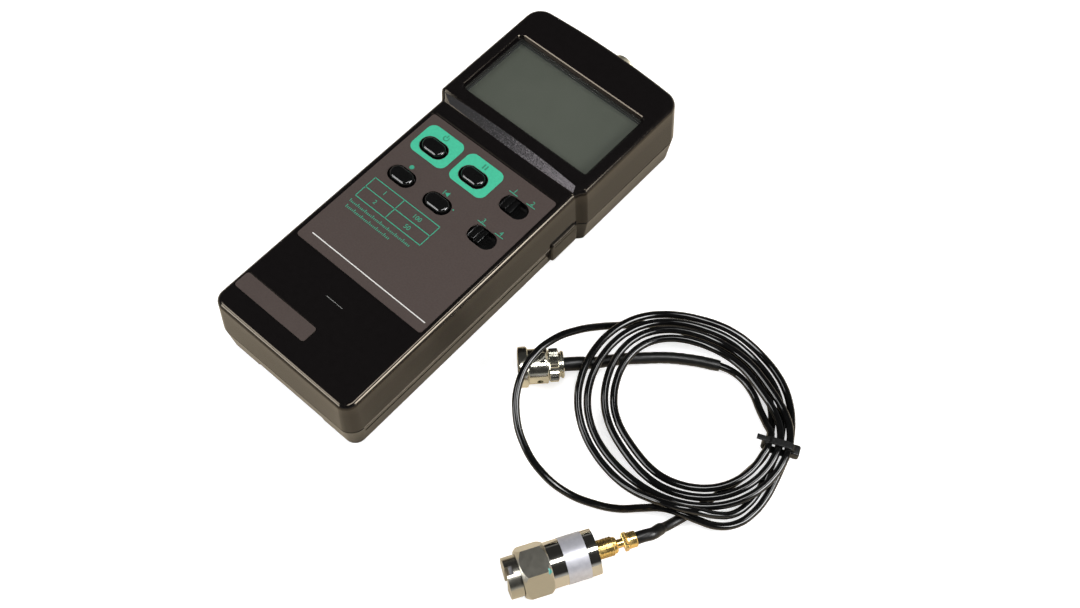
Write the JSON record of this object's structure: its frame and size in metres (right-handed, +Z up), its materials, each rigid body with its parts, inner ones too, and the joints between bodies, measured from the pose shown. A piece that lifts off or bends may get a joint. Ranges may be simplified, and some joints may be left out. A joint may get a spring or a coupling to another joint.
{
  "type": "handheld vibration meter",
  "caption": "Black handheld vibration meter with a display and keys, and a nickel sensor on a magnetic base with a tied coil of cable and a bayonet plug.",
  "frame": {"origin": "centre of the case's back, which lies on the surface", "axes": "+Z up out of the key face, +Y towards the socket end, +X to the right of the keys"},
  "size_m": [0.1867, 0.1875, 0.032],
  "materials": {
    "case_black": "gloss",
    "trim_grey": "fine grain",
    "window_clear": "clear",
    "display_grey": "satin",
    "inner_black": "matte",
    "strip_pink": "matte",
    "label_grey": "satin",
    "key_black": "gloss",
    "switch_metal": "plain",
    "board_green": "lacquered",
    "chip_black": "matte",
    "part_grey": "mixed",
    "screw_steel": "plain",
    "nickel": "nickel plated",
    "white_plastic": "matte",
    "gold": "gold plated",
    "wire_white": "matte",
    "wire_red": "matte",
    "cover_rubber": "matte",
    "battery_case": "printed foil",
    "band_silver": "satin foil",
    "ceramic_tan": "fired ceramic",
    "mass_steel": "plain",
    "magnet_dark": "plain",
    "cable_black": "glossy sheath",
    "tie_black": "satin"
  },
  "bodies": {
    "meter": {"front_shell": "case_black", "rear_shell": "case_black", "trim_band": "trim_grey", "display_window": "window_clear", "lcd_glass": "display_grey", "lcd_frame": "inner_black", "zebra_strips": "strip_pink", "control_label": "label_grey", "name_plate": "label_grey", "button_switches": "switch_metal", "slide_switches": "switch_metal", "main_board": "board_green", "processor_chip": "chip_black", "board_parts": "part_grey", "board_screws": "screw_steel", "case_screws": "screw_steel", "bnc_socket_body": "nickel", "bnc_socket_washer": "nickel", "bnc_socket_nut": "nickel", "bnc_socket_insulator": "white_plastic", "bnc_socket_contact": "gold", "input_wire": "wire_white", "output_jack": "part_grey", "battery": "battery_case", "battery_snap": "inner_black", "battery_leads": "wire_red"},
    "door": {"battery_door": "case_black"},
    "cover": {"jack_cover": "cover_rubber"},
    "power_key": {"power_button": "key_black"},
    "hold_key": {"hold_button": "key_black"},
    "record_key": {"record_button": "key_black"},
    "recall_key": {"recall_button": "key_black"},
    "detector_slide": {"detector_knob": "key_black"},
    "function_slide": {"function_knob": "key_black"},
    "sensor_lead": {"sensor_body": "nickel", "sensor_band": "band_silver", "piezo_ring": "ceramic_tan", "seismic_mass": "mass_steel", "preload_screw": "screw_steel", "sensor_socket": "gold", "lead_ferrule": "gold", "sensor_sleeve": "cable_black", "cable_sensor_end": "cable_black", "cable_coil": "cable_black", "cable_plug_end": "cable_black", "plug_sleeve": "cable_black", "cable_tie": "tie_black", "plug_barrel": "nickel", "plug_insulator": "white_plastic", "plug_pin": "gold", "plug_clamp": "nickel"},
    "plug_collar": {"plug_ring": "nickel"},
    "lead_nut": {"knurled_nut": "gold"},
    "magnet": {"magnet_base": "nickel", "magnet_core": "magnet_dark", "mounting_stud": "screw_steel"}
  },
  "joints": [
    {"name": "sensor_lift", "type": "slide", "parent": "meter", "child": "sensor_lead", "axis": [0, 0, 1], "range_m": [0, 0.15]},
    {"name": "power_press", "type": "slide", "parent": "meter", "child": "power_key", "axis": [0, 0, -1], "range_m": [0, 0.0007], "stiffness_N_per_m": 1500, "springref_m": -0.0002},
    {"name": "hold_press", "type": "slide", "parent": "meter", "child": "hold_key", "axis": [0, 0, -1], "range_m": [0, 0.0007], "stiffness_N_per_m": 1500, "springref_m": -0.0002},
    {"name": "record_press", "type": "slide", "parent": "meter", "child": "record_key", "axis": [0, 0, -1], "range_m": [0, 0.0007], "stiffness_N_per_m": 1500, "springref_m": -0.0002},
    {"name": "recall_press", "type": "slide", "parent": "meter", "child": "recall_key", "axis": [0, 0, -1], "range_m": [0, 0.0007], "stiffness_N_per_m": 1500, "springref_m": -0.0002},
    {"name": "detector_shift", "type": "slide", "parent": "meter", "child": "detector_slide", "axis": [1, 0, 0], "range_m": [0, 0.004]},
    {"name": "function_shift", "type": "slide", "parent": "meter", "child": "function_slide", "axis": [1, 0, 0], "range_m": [0, 0.004]},
    {"name": "door_slide", "type": "slide", "parent": "meter", "child": "door", "axis": [0, -1, 0], "range_m": [0, 0.05]},
    {"name": "cover_hinge", "type": "hinge", "parent": "meter", "child": "cover", "pos_m": [0.0334, 0.0205, 0.0049], "axis": [0, 1, 0], "range_deg": [0, 90]},
    {"name": "collar_turn", "type": "hinge", "parent": "sensor_lead", "child": "plug_collar", "pos_m": [0.0553, -0.0282, 0.00725], "axis": [0.6947, 0.7193, 0], "continuous": true},
    {"name": "nut_turn", "type": "hinge", "parent": "sensor_lead", "child": "lead_nut", "pos_m": [0.1038, -0.0879, 0.008], "axis": [0.506, 0.8625, 0], "continuous": true},
    {"name": "magnet_turn", "type": "hinge", "parent": "sensor_lead", "child": "magnet", "pos_m": [0.1038, -0.0879, 0.008], "axis": [0.506, 0.8625, 0], "continuous": true}
  ]
}
